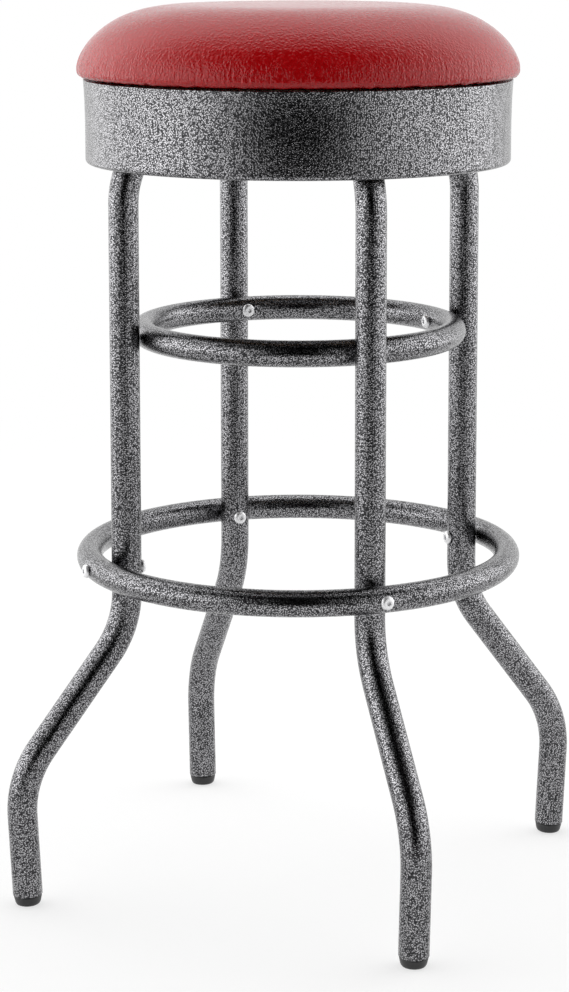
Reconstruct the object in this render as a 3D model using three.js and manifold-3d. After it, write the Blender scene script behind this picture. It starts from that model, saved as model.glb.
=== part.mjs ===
// Diner counter stool with a round padded seat that swivels on a ball race.
// Millimetres, +Z up, the floor at z = 0 and the swivel axis on x = y = 0. The legs stand on the diagonals.

import * as THREE from 'three';
import { mergeVertices } from 'three/addons/utils/BufferGeometryUtils.js';
import Module from 'manifold-3d';

const wasm = await Module();
wasm.setup();

// Overall
const overallHeight = 762;
const fit = 0.3;
const overrun = 5;
const weld = 0.0001;

// Leg tubes
const legTube = 25.4;
const legWall = 1.5;
const legCircle = 157.5;
const headRadius = 80;
const kneeRadius = 86;
const ankleCircle = 252.5;
const ankleHeight = 82;
const splay = THREE.MathUtils.degToRad(37.5);
const toeIn = THREE.MathUtils.degToRad(3);
const legEndSpace = 6;

// Ring tubes
const ringTube = 22;
const ringWall = 1.5;
const upperRingDrop = 114;
const footRingRise = 21;

// Foot plugs
const plugHeight = 8.5;
const plugShoulder = 0.5;
const plugFace = 8;
const plugRound = 3;
const plugStem = 18;
const plugStemTaper = 1;
const plugTrim = 0.6;

// Cushion
const cushionHeight = 64;
const cushionOverhang = 6.8;
const coverThickness = 1.2;
const widestRise = 9.6;
const tuckDepth = 5;
const coverLip = 10;
const shoulderWidth = 90;
const shoulderFullness = 2.1;
const shoulderBluntness = 1.7;
const crownRise = 1;
const boardThickness = 12;
const boardInset = 7.5;

// Apron band
const apronHeight = 71;
const apronSheet = 1.2;
const apronClearance = 10.1;
const apronHem = 3.5;
const apronLip = 4;
const apronFlare = 1.5;
const apronFlareHeight = 12;
const apronScrewSpace = 3.8;
const apronScrewEdge = 8;

// Swivel
const plateSide = 165;
const plateCorner = 14;
const plateThickness = 3;
const plateScrewInset = 13;
const ballDiameter = 6;
const ballCount = 12;
const trackDepth = 0.8;
const cageThickness = 1.2;
const cageMargin = 2.5;
const rivetRadius = 7.5;
const rivetHeadLap = 4.5;
const rivetHeadThickness = 2.5;

// Fasteners
const ringBoltRadius = 3;
const buttonRadius = 5.8;
const buttonHeight = 3.3;
const buttonRim = 0.7;
const socketRadius = 2.2;
const socketDepth = 2;
const sleeveRadius = 4.2;
const sleeveCap = 1;
const sleeveReach = 7;
const insertWall = 1.6;
const insertBulge = 1.8;
const insertBulgeLength = 4;
const insertLength = 11;
const legBoltRadius = 3;
const legBoltHead = 5.8;
const legBoltHeadHeight = 4;
const legBoltEdge = 9.5;
const woodScrewRadius = 2.2;
const woodScrewHead = 4.4;
const woodScrewHeadHeight = 2.4;
const woodScrewPoint = 3;
const woodScrewCover = 2;

// Numbers of facets and steps
const legSides = 16;
const boreSides = 8;
const ringSteps = 40;
const ringSides = 10;
const ringBoreSides = 6;
const roundSteps = 48;
const foamSteps = 24;
const shoulderSteps = 7;
const tuckSteps = 3;
const cornerSteps = 2;
const headSteps = 6;
const jointSteps = 3;
const plugSides = 12;
const boltSides = 10;
const shankSides = 8;
const screwSides = 6;
const hexSides = 6;
const trackSteps = 32;
const trackSides = 8;
const ballSteps = 6;
const ballRings = 4;
const plateCornerSteps = 2;
const rivetSides = 16;

// Sizes that follow from those above
const legR = legTube / 2;
const ringR = ringTube / 2;
const ballR = ballDiameter / 2;
const upperRingRadius = legCircle - legR - fit - ringR;
const footRingRadius = legCircle + legR + fit + ringR;
const apronRadius = legCircle + legR + apronClearance + apronSheet;
const cushionRadius = apronRadius + cushionOverhang;
const seamZ = overallHeight - cushionHeight;
const lipZ = seamZ + fit;
const boardZ = lipZ + coverThickness + fit;
const boardTop = boardZ + boardThickness;
const boardRadius = apronRadius - boardInset;
const widestZ = seamZ + widestRise;
const topPlateZ = boardZ - fit - plateThickness;
const plateSpace = ballDiameter + 2 * fit - 2 * trackDepth;
const bottomPlateZ = topPlateZ - plateSpace - plateThickness;
const ballZ = topPlateZ - plateSpace / 2;
const legTopZ = bottomPlateZ - fit - legR;
const headZ = legTopZ - headRadius;
const legEnd = legR + legEndSpace;
const legBendStart = legCircle - headRadius;
const innerBoltRadius = legEnd + legBoltEdge;
const outerBoltRadius = legBendStart - legBoltEdge;
const raceRadius = (innerBoltRadius + outerBoltRadius) / 2;
const bendReach = kneeRadius * (1 - Math.cos(splay));
const splayLength = (ankleCircle - legCircle - 2 * bendReach) / Math.sin(splay);
const kneeZ = ankleHeight + 2 * kneeRadius * Math.sin(splay) + splayLength * Math.cos(splay);
const footRingZ = kneeZ + footRingRise;
const upperRingZ = headZ - upperRingDrop;
const toeStartZ = ankleHeight - kneeRadius * Math.sin(toeIn);
const toeLength = (toeStartZ - plugHeight) / Math.cos(toeIn);
const boardBite = boardThickness - woodScrewCover;
const insertBore = ringBoltRadius + fit;
const insertNeck = insertBore + insertWall;
const boreFlat = (legR - legWall) * Math.cos(Math.PI / boreSides);
const lipRadius = boardRadius - coverLip;
const apronScrewRadius = lipRadius - apronScrewSpace - woodScrewRadius;
const flangeRadius = apronScrewRadius - apronScrewEdge;
const plateScrewRadius = Math.SQRT2 * (plateSide / 2 - plateScrewInset);
const rivetHeadRadius = rivetRadius + rivetHeadLap;

// Materials
function material(color, roughness, metalness) {
  return new THREE.MeshStandardMaterial({ color, roughness, metalness });
}

const vinyl = () => material(0xa3101c, 0.45, 0);
const foam = () => material(0xe8d9a8, 0.95, 0);
const plywood = () => material(0xb98d5a, 0.8, 0);
const hammertone = () => material(0x6f7175, 0.5, 0.4);
const steel = () => material(0x8d9096, 0.4, 0.9);
const zinc = () => material(0xb9bcc0, 0.3, 1);
const blackPlastic = () => material(0x1c1c1e, 0.5, 0);

// Solids
function solid(geometry) {
  const plain = geometry.clone();
  plain.deleteAttribute('normal');
  plain.deleteAttribute('uv');
  const merged = mergeVertices(plain, weld);
  const vertProperties = new Float32Array(merged.attributes.position.array);
  const triVerts = new Uint32Array(merged.index.array);
  return new wasm.Manifold(new wasm.Mesh({ numProp: 3, vertProperties, triVerts }));
}

function geometryOf(body) {
  const mesh = body.getMesh();
  const geometry = new THREE.BufferGeometry();
  geometry.setAttribute('position', new THREE.BufferAttribute(mesh.vertProperties, 3));
  geometry.setIndex(new THREE.BufferAttribute(mesh.triVerts, 1));
  geometry.computeVertexNormals();
  return geometry;
}

function cut(geometry, ...tools) {
  return geometryOf(tools.reduce((body, tool) => body.subtract(solid(tool)), solid(geometry)));
}

function join(geometry, ...others) {
  return geometryOf(others.reduce((body, other) => body.add(solid(other)), solid(geometry)));
}

// A profile of (radius, height) points turned about the Z axis
function turned(profile, steps) {
  const points = profile.map(([radius, height]) => new THREE.Vector2(radius, height));
  return new THREE.LatheGeometry(points, steps).rotateX(Math.PI / 2);
}

// A rod along +Z that starts at z = 0
function rod(radius, length, sides) {
  return new THREE.CylinderGeometry(radius, radius, length, sides)
    .rotateX(Math.PI / 2)
    .translate(0, 0, length / 2);
}

// A drill along +Z, wide enough that its flats clear a rod of the given radius
function drill(radius, length) {
  return rod((radius + fit) / Math.cos(Math.PI / shankSides), length, shankSides);
}

// A drill along +X that starts at the given radius from the axis
function radialDrill(radius, start, length, z) {
  return drill(radius, length).rotateY(Math.PI / 2).translate(start, 0, z);
}

function circle(radius, sides) {
  return Array.from({ length: sides }, (_, i) => {
    const angle = (2 * Math.PI * i) / sides;
    return new THREE.Vector2(radius * Math.cos(angle), radius * Math.sin(angle));
  });
}

// Points of an arc about (radius, height), both ends included
function arc(centre, radius, from, to, steps) {
  return Array.from({ length: steps + 1 }, (_, i) => {
    const angle = from + ((to - from) * i) / steps;
    return [centre[0] + radius * Math.cos(angle), centre[1] + radius * Math.sin(angle)];
  });
}

function named(name, geometry, finish) {
  const mesh = new THREE.Mesh(geometry, finish);
  mesh.name = name;
  return mesh;
}

// A tube's centre line in its own X-Z plane, drawn by straight runs and bends.
// The heading is the angle from straight down, positive outwards.
class TubeRoute extends THREE.Curve {
  constructor(x, z, heading) {
    super();
    this.stations = [{ x, z, heading }];
  }

  get last() {
    return this.stations[this.stations.length - 1];
  }

  straight(length) {
    const { x, z, heading } = this.last;
    this.stations.push({ x: x + length * Math.sin(heading), z: z - length * Math.cos(heading), heading });
    return this;
  }

  bend(radius, to, steps) {
    const { x, z, heading: from } = this.last;
    const side = Math.sign(to - from) * radius;
    for (let i = 1; i <= steps; i++) {
      const heading = from + ((to - from) * i) / steps;
      this.stations.push({
        x: x + side * (Math.cos(from) - Math.cos(heading)),
        z: z + side * (Math.sin(from) - Math.sin(heading)),
        heading,
      });
    }
    return this;
  }

  get steps() {
    return this.stations.length - 1;
  }

  getPointAt(share) {
    const { x, z } = this.stations[Math.round(share * this.steps)];
    return new THREE.Vector3(x, 0, z);
  }

  getTangentAt(share) {
    const { heading } = this.stations[Math.round(share * this.steps)];
    return new THREE.Vector3(Math.sin(heading), 0, -Math.cos(heading));
  }
}

function legRoute() {
  return new TubeRoute(legEnd, legTopZ, Math.PI / 2)
    .straight(legBendStart - legEnd)
    .bend(headRadius, 0, headSteps)
    .straight(headZ - kneeZ)
    .bend(kneeRadius, splay, jointSteps)
    .straight(splayLength)
    .bend(kneeRadius, -toeIn, jointSteps)
    .straight(toeLength);
}

// Legs, with clear holes for the plate bolts, the upper ring's insert and the foot ring's bolt
function legGeometry(route) {
  const section = new THREE.Shape(circle(legR, legSides));
  section.holes.push(new THREE.Path(circle(legR - legWall, boreSides)));
  const tube = new THREE.ExtrudeGeometry(section, { extrudePath: route, steps: route.steps });
  const depth = legTube + 2 * overrun;
  const plateHoles = [innerBoltRadius, outerBoltRadius].map((x) =>
    drill(legBoltRadius, depth).translate(x, 0, legTopZ - legR - overrun));
  const innerFace = legCircle - legR - overrun;
  const insertHole = radialDrill(insertNeck, innerFace, legR, upperRingZ);
  const sleeveHole = radialDrill(sleeveRadius, innerFace, legR, footRingZ);
  const boltHole = radialDrill(ringBoltRadius, legCircle, legR + overrun, footRingZ);
  return cut(tube, ...plateHoles, insertHole, sleeveHole, boltHole);
}

// Foot plug: a tapered foot cut flat by the floor, with a stem inside the tube
function plugGeometry(route) {
  const { x, z } = route.last;
  const rim = legR - plugShoulder;
  const stem = boreFlat - fit;
  const base = -plugHeight - plugTrim;
  const profile = [
    [0, base],
    [plugFace, base],
    [plugFace + (2 * plugRound) / 3, base + plugRound / 3],
    [plugFace + plugRound, base + plugRound],
    [rim, -fit],
    [stem, -fit],
    [stem - plugStemTaper, plugStem],
    [0, plugStem],
  ];
  const below = new THREE.BoxGeometry(legTube, legTube, legTube).translate(x, 0, -legR);
  return cut(turned(profile, plugSides).rotateY(toeIn).translate(x, 0, z), below);
}

// Rings: bent round tubes with a bolt through them at each leg
function ringGeometry(radius, z) {
  const section = (r, sides) => arc([radius, 0], r, 0, 2 * Math.PI, sides);
  const outside = turned(section(ringR, ringSides), ringSteps);
  const bore = turned(section(ringR - ringWall, ringBoreSides), ringSteps);
  const hole = (angle) =>
    radialDrill(ringBoltRadius, radius - ringR - overrun, ringTube + 2 * overrun, 0).rotateZ(angle);
  return cut(outside, bore, ...corners.map(({ angle }) => hole(angle))).translate(0, 0, z);
}

// Button head with a hexagon socket. The head's seat is at z = 0 and the shank points along +Z.
function buttonHead(shank) {
  const crown = [
    [0, -buttonHeight],
    [socketRadius + buttonRim, -buttonHeight],
    [(buttonRadius + socketRadius) / 2 + buttonRim, (-buttonHeight - buttonRim) / 2 - buttonRim],
    [buttonRadius, -buttonRim],
    [buttonRadius, 0],
  ];
  const socket = rod(socketRadius, socketDepth + overrun, hexSides).translate(0, 0, -buttonHeight - overrun);
  return cut(turned([...crown, ...shank], boltSides), socket);
}

function ringScrewGeometry(length) {
  return buttonHead([[ringBoltRadius, 0], [ringBoltRadius, length], [0, length]]);
}

// Sleeve nut: a button head on a bored barrel
function sleeveNutGeometry(length) {
  const bore = ringBoltRadius + fit;
  const hollow = [[bore, length], [bore, sleeveCap], [0, sleeveCap]];
  return buttonHead([[sleeveRadius, 0], [sleeveRadius, length], ...hollow]);
}

// Threaded insert: a neck in the leg's wall and a bulge clinched behind it
function insertGeometry() {
  const bulge = insertNeck + insertBulge;
  const clinch = legR - Math.sqrt(boreFlat ** 2 - bulge ** 2) + fit;
  const profile = [
    [insertBore, 0],
    [insertNeck, 0],
    [insertNeck, clinch],
    [bulge, clinch],
    [insertNeck, clinch + insertBulgeLength],
    [insertNeck, insertLength],
    [insertBore, insertLength],
    [insertBore, 0],
  ];
  return turned(profile, shankSides);
}

// Hexagon bolt up through a leg into the tapped plate
function legBoltGeometry() {
  const head = rod(legBoltHead, legBoltHeadHeight, hexSides).translate(0, 0, -legBoltHeadHeight);
  const length = legTube + plateThickness + fit;
  const shank = rod(legBoltRadius, length + legBoltHeadHeight / 2, shankSides);
  return join(head, shank.translate(0, 0, -legBoltHeadHeight / 2));
}

// Wood screw with a domed head, pointing up. The head's seat is at z = 0.
function woodScrewGeometry(length) {
  const profile = [
    [0, -woodScrewHeadHeight],
    [woodScrewHead / 2, -woodScrewHeadHeight],
    [woodScrewHead, -woodScrewHeadHeight / 2],
    [woodScrewHead, 0],
    [woodScrewRadius, 0],
    [woodScrewRadius, length - woodScrewPoint],
    [0, length],
  ];
  return turned(profile, screwSides);
}

// The cushion's outline from its widest level over the shoulder to the crown, drawn in by an inset
function crown(inset) {
  const radius = cushionRadius - inset;
  const rise = overallHeight - crownRise - widestZ - inset;
  const shoulder = Array.from({ length: shoulderSteps + 1 }, (_, i) => {
    const angle = ((Math.PI / 2) * i) / shoulderSteps;
    const out = i === shoulderSteps ? 0 : Math.cos(angle) ** (2 / shoulderFullness);
    return [radius - shoulderWidth * (1 - out), widestZ + rise * Math.sin(angle) ** (2 / shoulderBluntness)];
  });
  return [...shoulder, [0, overallHeight - inset]];
}

// The sides drawn in below the widest level, down to the given height
function tuck(inset, bottom) {
  const depth = tuckDepth - inset / 2;
  return Array.from({ length: tuckSteps }, (_, i) => {
    const angle = ((Math.PI / 2) * (tuckSteps - i)) / tuckSteps;
    const fall = (widestZ - bottom) * Math.sin(angle);
    return [cushionRadius - inset - depth * (1 - Math.cos(angle)), widestZ - fall];
  });
}

// Cover: a skin over the foam that is turned in under the board's edge
function coverGeometry() {
  const inside = lipZ + coverThickness;
  const outer = [...tuck(0, lipZ), ...crown(0)];
  const inner = [...tuck(coverThickness, inside), ...crown(coverThickness)].reverse();
  const profile = [[lipRadius, inside], [lipRadius, lipZ], ...outer];
  return turned([...profile, ...inner, [lipRadius, inside]], roundSteps);
}

// Foam: fills the cover above the board and wraps round the board's edge
function foamGeometry() {
  const inset = coverThickness + fit;
  const inside = boardZ;
  const bed = boardTop + fit;
  const edge = (boardRadius + fit) / Math.cos(Math.PI / foamSteps);
  const profile = [[0, bed], [edge, bed], [edge, inside], ...tuck(inset, inside), ...crown(inset)];
  return turned(profile, foamSteps);
}

// Seat board: plywood disc with pilot holes and a pocket for the rivet's head
function boardGeometry() {
  const pilot = (radius, angle) =>
    drill(woodScrewRadius, boardBite + overrun)
      .translate(radius, 0, boardZ - overrun + fit)
      .rotateZ(angle);
  const circles = [plateScrewRadius, apronScrewRadius];
  const pilots = corners.flatMap(({ angle }) => circles.map((radius) => pilot(radius, angle)));
  const pocketDepth = rivetHeadThickness + 2 * fit;
  const pocket = rod(rivetHeadRadius + 2 * fit, pocketDepth + overrun, rivetSides);
  const disc = rod(boardRadius, boardThickness, roundSteps).translate(0, 0, boardZ);
  return cut(disc, ...pilots, pocket.translate(0, 0, boardZ - overrun));
}

// Apron: a sheet-steel band with a rolled bottom edge, a flared top and a flange under the board
function apronGeometry() {
  const bottom = seamZ - apronHeight;
  const side = apronRadius - apronSheet;
  const hem = apronRadius - apronHem;
  const top = apronRadius + apronFlare;
  const underFlange = seamZ - apronSheet;
  const flareZ = seamZ - apronFlareHeight;
  const profile = [
    [hem - apronLip, bottom + apronSheet],
    [hem - apronLip, bottom],
    ...arc([hem, bottom + apronHem], apronHem, -Math.PI / 2, 0, cornerSteps),
    [apronRadius, flareZ],
    [top, underFlange],
    [top - apronSheet, seamZ],
    [flangeRadius, seamZ],
    [flangeRadius, underFlange],
    [top - 2 * apronSheet, underFlange],
    [side, flareZ],
    ...arc([hem, bottom + apronHem], apronHem - apronSheet, 0, -Math.PI / 2, cornerSteps),
    [hem - apronLip, bottom + apronSheet],
  ];
  const hole = (angle) =>
    drill(woodScrewRadius, apronSheet + 2 * overrun)
      .translate(apronScrewRadius, 0, underFlange - overrun)
      .rotateZ(angle);
  return cut(turned(profile, roundSteps), ...corners.map(({ angle }) => hole(angle)));
}

// A square plate with round corners and a central hole, 0 to plateThickness high
function plateBlank() {
  const half = plateSide / 2;
  const reach = half - plateCorner;
  const outline = new THREE.Shape();
  [[1, 1], [-1, 1], [-1, -1], [1, -1]].forEach(([sideX, sideY], i) => {
    const start = (Math.PI / 2) * i;
    outline.absarc(reach * sideX, reach * sideY, plateCorner, start, start + Math.PI / 2);
  });
  const points = outline.getPoints(plateCornerSteps);
  const shape = new THREE.Shape(points);
  shape.holes.push(new THREE.Path(circle(rivetRadius + fit, rivetSides)));
  return new THREE.ExtrudeGeometry(shape, { depth: plateThickness, bevelEnabled: false });
}

// The ball track that both plates are cut by
function trackTool() {
  const radius = (ballR + fit) / Math.cos(Math.PI / trackSides);
  return turned(arc([raceRadius, ballZ], radius, 0, 2 * Math.PI, trackSides), trackSteps);
}

function topPlateGeometry() {
  const hole = (angle) =>
    drill(woodScrewRadius, plateThickness + 2 * overrun)
      .translate(plateScrewRadius, 0, topPlateZ - overrun)
      .rotateZ(angle);
  const holes = corners.map(({ angle }) => hole(angle));
  return cut(plateBlank().translate(0, 0, topPlateZ), trackTool(), ...holes);
}

function bottomPlateGeometry() {
  const hole = (radius, angle) =>
    drill(legBoltRadius, plateThickness + 2 * overrun)
      .translate(radius, 0, bottomPlateZ - overrun)
      .rotateZ(angle);
  const circles = [innerBoltRadius, outerBoltRadius];
  const holes = corners.flatMap(({ angle }) => circles.map((radius) => hole(radius, angle)));
  return cut(plateBlank().translate(0, 0, bottomPlateZ), trackTool(), ...holes);
}

// Ball cage: a flat ring that carries the balls
function cageGeometry() {
  const inner = raceRadius - ballR - cageMargin;
  const outer = raceRadius + ballR + cageMargin;
  const low = ballZ - cageThickness / 2;
  const high = ballZ + cageThickness / 2;
  const ring = turned([[inner, low], [outer, low], [outer, high], [inner, high], [inner, low]], trackSteps);
  const balls = Array.from({ length: ballCount }, (_, i) =>
    new THREE.SphereGeometry(ballR, ballSteps, ballRings)
      .rotateX(Math.PI / 2)
      .translate(raceRadius, 0, ballZ)
      .rotateZ((2 * Math.PI * i) / ballCount));
  return join(ring, ...balls);
}

// Centre rivet that keeps the two plates together
function rivetGeometry() {
  const low = bottomPlateZ - fit;
  const high = topPlateZ + plateThickness + fit;
  const profile = [
    [0, low - rivetHeadThickness],
    [rivetRadius, low - rivetHeadThickness],
    [rivetHeadRadius, low - rivetHeadThickness / 2],
    [rivetHeadRadius, low],
    [rivetRadius, low],
    [rivetRadius, high],
    [rivetHeadRadius, high],
    [rivetHeadRadius, high + rivetHeadThickness / 2],
    [rivetRadius, high + rivetHeadThickness],
    [0, high + rivetHeadThickness],
  ];
  return turned(profile, rivetSides);
}

const corners = [
  { corner: 'front_right', angle: -Math.PI / 4 },
  { corner: 'back_right', angle: Math.PI / 4 },
  { corner: 'back_left', angle: (3 * Math.PI) / 4 },
  { corner: 'front_left', angle: (-3 * Math.PI) / 4 },
];

// A fastener's place in its corner's group, and its turn from pointing up
function placed(mesh, x, z, turn = 0) {
  mesh.position.set(x, 0, z);
  mesh.rotation.y = turn;
  return mesh;
}

const outwards = Math.PI / 2;
const inwards = -Math.PI / 2;

// One leg with its plug, its plate bolts and the fasteners of both rings
function legCorner(corner, angle) {
  const route = legRoute();
  const group = new THREE.Group();
  group.rotation.z = angle;
  group.add(named(`leg_${corner}`, legGeometry(route), hammertone()));
  group.add(named(`foot_plug_${corner}`, plugGeometry(route), blackPlastic()));
  const boltSeat = legTopZ - legR - fit;
  const innerBolt = named(`leg_bolt_inner_${corner}`, legBoltGeometry(), zinc());
  const outerBolt = named(`leg_bolt_outer_${corner}`, legBoltGeometry(), zinc());
  group.add(placed(innerBolt, innerBoltRadius, boltSeat), placed(outerBolt, outerBoltRadius, boltSeat));
  const screwSeat = upperRingRadius - ringR - buttonRadius * Math.tan(Math.PI / ringSteps) - fit;
  const insertSeat = legCircle - legR;
  const screw = ringScrewGeometry(insertSeat + insertLength - screwSeat);
  group.add(placed(named(`upper_ring_screw_${corner}`, screw, zinc()), screwSeat, upperRingZ, outwards));
  const insert = named(`upper_ring_insert_${corner}`, insertGeometry(), steel());
  group.add(placed(insert, insertSeat, upperRingZ, outwards));
  const boltHeadSeat = footRingRadius + ringR + fit;
  const nutSeat = legCircle - legR - fit;
  const bolt = ringScrewGeometry(boltHeadSeat - legCircle + sleeveReach / 2);
  const nut = sleeveNutGeometry(legCircle + sleeveReach - nutSeat);
  group.add(placed(named(`foot_ring_bolt_${corner}`, bolt, zinc()), boltHeadSeat, footRingZ, inwards));
  group.add(placed(named(`foot_ring_nut_${corner}`, nut, zinc()), nutSeat, footRingZ, outwards));
  return group;
}

// The screws under the seat at one corner
function seatCorner(corner, angle) {
  const group = new THREE.Group();
  group.rotation.z = angle;
  const apronSeat = seamZ - apronSheet - fit;
  const plateSeat = topPlateZ - fit;
  const apronScrew = woodScrewGeometry(boardZ + boardBite - apronSeat);
  const plateScrew = woodScrewGeometry(boardZ + boardBite - plateSeat);
  group.add(placed(named(`apron_screw_${corner}`, apronScrew, zinc()), apronScrewRadius, apronSeat));
  group.add(placed(named(`seat_plate_screw_${corner}`, plateScrew, zinc()), plateScrewRadius, plateSeat));
  return group;
}

function base() {
  const group = new THREE.Group();
  corners.forEach(({ corner, angle }) => group.add(legCorner(corner, angle)));
  group.add(named('upper_ring', ringGeometry(upperRingRadius, upperRingZ), hammertone()));
  group.add(named('foot_ring', ringGeometry(footRingRadius, footRingZ), hammertone()));
  group.add(named('swivel_bottom_plate', bottomPlateGeometry(), steel()));
  group.add(named('swivel_rivet', rivetGeometry(), steel()));
  return group;
}

function seat() {
  const group = new THREE.Group();
  group.add(named('seat_cover', coverGeometry(), vinyl()));
  group.add(named('seat_foam', foamGeometry(), foam()));
  group.add(named('seat_board', boardGeometry(), plywood()));
  group.add(named('apron_band', apronGeometry(), hammertone()));
  group.add(named('swivel_top_plate', topPlateGeometry(), steel()));
  corners.forEach(({ corner, angle }) => group.add(seatCorner(corner, angle)));
  return group;
}

const stool = new THREE.Group();
stool.add(base());
stool.add(named('ball_cage', cageGeometry(), steel()));
stool.add(seat());

export default stool;
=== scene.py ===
"""Looks of the diner counter stool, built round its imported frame. Metres, +Z up, the floor at z = 0."""

import math

import bmesh
import bpy
import numpy as np
from mathutils import Matrix, Vector
from mathutils.bvhtree import BVHTree


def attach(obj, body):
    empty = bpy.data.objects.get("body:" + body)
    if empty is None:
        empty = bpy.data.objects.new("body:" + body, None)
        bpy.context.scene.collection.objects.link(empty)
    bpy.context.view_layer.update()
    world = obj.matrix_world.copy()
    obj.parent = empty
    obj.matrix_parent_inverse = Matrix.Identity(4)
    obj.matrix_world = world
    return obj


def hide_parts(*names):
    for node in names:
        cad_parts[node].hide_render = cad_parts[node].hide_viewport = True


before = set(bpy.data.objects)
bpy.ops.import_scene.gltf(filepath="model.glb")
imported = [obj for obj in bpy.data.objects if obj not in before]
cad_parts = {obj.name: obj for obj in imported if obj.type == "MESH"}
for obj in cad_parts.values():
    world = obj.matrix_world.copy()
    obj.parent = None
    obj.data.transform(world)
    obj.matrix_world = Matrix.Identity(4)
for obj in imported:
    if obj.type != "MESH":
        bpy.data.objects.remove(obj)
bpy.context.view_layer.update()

MM = 0.001
TURN = 2 * math.pi
FIT = 0.3 * MM
POLE_R = 1e-7
TINY = 1e-9
CORNERS = {"front_right": -45, "back_right": 45, "back_left": 135, "front_left": -135}

# Levels from the top of the seat down to the plates
CUSHION_TOP = 762 * MM
CUSHION_HEIGHT = 64 * MM
COVER_THICKNESS = 1.2 * MM
BOARD_THICKNESS = 12 * MM
PLATE_THICKNESS = 3 * MM
PLATE_SPACE = 5 * MM
SEAM_Z = CUSHION_TOP - CUSHION_HEIGHT
LIP_Z = SEAM_Z + FIT
BOARD_Z = LIP_Z + COVER_THICKNESS + FIT
BOARD_TOP = BOARD_Z + BOARD_THICKNESS
TOP_PLATE_Z = BOARD_Z - FIT - PLATE_THICKNESS
BOTTOM_PLATE_Z = TOP_PLATE_Z - PLATE_SPACE - PLATE_THICKNESS

# Legs
LEG_R = 12.7 * MM
LEG_WALL = 1.5 * MM
LEG_CIRCLE = 157.5 * MM
LEG_TOP = BOTTOM_PLATE_Z - FIT - LEG_R
LEG_END_SPACE = 6 * MM
LEG_END = LEG_R + LEG_END_SPACE
HEAD_RADIUS = 80 * MM
KNEE_RADIUS = 86 * MM
ANKLE_CIRCLE = 252.5 * MM
ANKLE_HEIGHT = 82 * MM
SPLAY = math.radians(37.5)
TOE_IN = math.radians(3)
LEG_SIDES = 48
BEND_STEPS = 28
HEAD_STEPS = 6
SHANK_STEPS = 12
SPLAY_STEPS = 4
TOE_STEPS = 4
TUBE_EASE = 0.4 * MM

# Foot plugs
PLUG_HEIGHT = 8.5 * MM
PLUG_FACE = 8 * MM
PLUG_ROUND = 3 * MM
PLUG_RIM = 12.2 * MM
PLUG_STEM = 10 * MM
PLUG_STEM_TAPER = 1 * MM
PLUG_STEM_LENGTH = 18 * MM
PLUG_TRIM = 0.6 * MM
PLUG_FILLET = 1.2 * MM

# Rings
RING_R = 11 * MM
UPPER_RING_DROP = 114 * MM
UPPER_RING_RADIUS = LEG_CIRCLE - LEG_R - FIT - RING_R
UPPER_RING_Z = LEG_TOP - HEAD_RADIUS - UPPER_RING_DROP
FOOT_RING_RADIUS = LEG_CIRCLE + LEG_R + FIT + RING_R
FOOT_RING_Z = 285.2 * MM
RING_STEPS = 192
RING_SIDES = 40

# Apron
# A place on the flare is out from the wall and down from the apron's top.
APRON_CLEARANCE = 10.1 * MM
APRON_SHEET = 1.2 * MM
APRON_HEIGHT = 71 * MM
APRON_R = LEG_CIRCLE + LEG_R + APRON_CLEARANCE + APRON_SHEET
APRON_TOP = SEAM_Z
APRON_BOTTOM = SEAM_Z - APRON_HEIGHT
APRON_STEPS = 256
APRON_HEM = 3.5 * MM
HEM_STEPS = 10
HEM_BORE_STEPS = 8
APRON_LIP = 4 * MM
APRON_FLARE = 1.5 * MM
APRON_FLARE_HEIGHT = 12 * MM
APRON_EDGE = 0.4 * MM
FLARE_CURVE = ((0, 37 * MM), (0.4 * MM, 18 * MM), (0.9 * MM, 8 * MM))
FLARE_FILLET = 4 * MM
FLANGE_FILLET = 1 * MM

# Cushion
CUSHION_OVERHANG = 6.8 * MM
BOARD_INSET = 7.5 * MM
COVER_LIP = 10 * MM
LIP_WIDTH = 8 * MM
CUSHION_RADIUS = APRON_R + CUSHION_OVERHANG
BOARD_RADIUS = APRON_R - BOARD_INSET
LIP_RADIUS = BOARD_RADIUS - COVER_LIP
COVER_TURN_OUT = 1 * MM
COVER_TURN_RISE = 0.6 * MM
HEM_RISE = 2.2 * MM
HEM_TURN_OUT = 3 * MM
HEM_TURN_DROP = 0.5 * MM
TUCK = 5 * MM
TUCK_RISE = 7.4 * MM
WIDEST_RISE = 9.6 * MM
HEM_Z = SEAM_Z + HEM_RISE
TUCK_Z = SEAM_Z + TUCK_RISE
WIDEST_Z = SEAM_Z + WIDEST_RISE
SHOULDER_WIDTH = 90 * MM
SHOULDER_FULLNESS = 2.1
SHOULDER_BLUNTNESS = 1.7
SHOULDER_DROP = 20 * MM
SHOULDER_Z = CUSHION_TOP - SHOULDER_DROP
CROWN_RISE = 1 * MM
CUSHION_STEPS = 1260
TUCK_STEPS = 24
CROWN_STEPS = 240
TOP_STEPS = 12
SIDE_SPACING = 1.6 * MM
TOP_SPACING = 5 * MM
SOFTENED_FROM = 150 * MM
SOFTENED_OVER = 30 * MM
SOFTENED_PASSES = 8

# Puckers and waves of the cushion's cover
SIDE_FROM = 170 * MM
SIDE_OVER = 8 * MM
FOLDS_DROP = 40 * MM
FOLDS_TOP = CUSHION_TOP - FOLDS_DROP
FOLDS_RISE = 5 * MM
FOLDS_OVER = 12 * MM
FOLD_LEAN = 0.012
FOLD_LEAN_TURNS = 7
FOLD_LEAN_START = 1.0
FOLD_LEAN_HEIGHT = 20 * MM
COARSE_FOLD = 0.09 * MM
FINE_FOLD = 0.10 * MM
FOLD_MEAN_SHARE = 0.75
FOLD_SPREAD_SHARE = 0.35
SWELL = 0.25 * MM
CENTRE_R = 1 * MM
HEM_BAND = 3 * MM
COARSE_DROOP = 0.30 * MM
FINE_DROOP = 0.22 * MM
CROWN_LIFT = 0.4 * MM

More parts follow.
